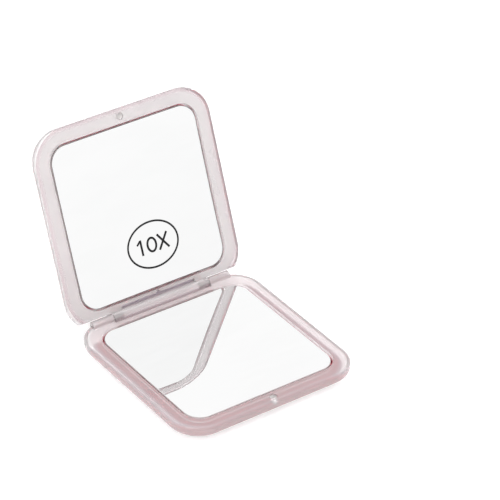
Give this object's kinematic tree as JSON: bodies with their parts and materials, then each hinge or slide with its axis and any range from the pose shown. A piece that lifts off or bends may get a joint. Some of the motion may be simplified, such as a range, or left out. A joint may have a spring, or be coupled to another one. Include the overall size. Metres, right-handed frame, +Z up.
{
  "type": "folding compact mirror",
  "caption": "Square folding pocket mirror: two clear hinged halves backed with a pink panel, a flat mirror in the base and a magnifying mirror in the lid, held shut by magnets.",
  "frame": {"origin": "centre of the base half's underside, on the table", "axes": "+Z up out of the base mirror, +X along the hinge, -Y towards the front edge with the catch magnet"},
  "size_m": [0.085, 0.1176, 0.0817],
  "materials": {
    "clear_casing": "clear moulded acrylic, polished",
    "colour_panel": "salmon pink sheet behind the clear casing",
    "adhesive_foam": "white double-sided foam",
    "mirror_plate": "silvered, dark ground edge",
    "magnet": "nickel plated",
    "hinge_steel": "drawn steel wire",
    "print_black": "printed ink"
  },
  "bodies": {
    "base": {"base_shell": "clear_casing", "base_colour_panel": "colour_panel", "base_adhesive_pad": "adhesive_foam", "base_mirror": "mirror_plate", "base_magnet": "magnet", "hinge_pin_left": "hinge_steel", "hinge_pin_right": "hinge_steel"},
    "lid": {"lid_shell": "clear_casing", "lid_colour_panel": "colour_panel", "lid_adhesive_pad": "adhesive_foam", "lid_mirror": "mirror_plate", "lid_magnet": "magnet", "magnification_mark": "print_black"}
  },
  "joints": [
    {"name": "lid_hinge", "type": "hinge", "parent": "base", "child": "lid", "pos_m": [0, 0.0404, 0.00515], "axis": [-1, 0, 0], "range_deg": [-111.8, 8.2]}
  ]
}
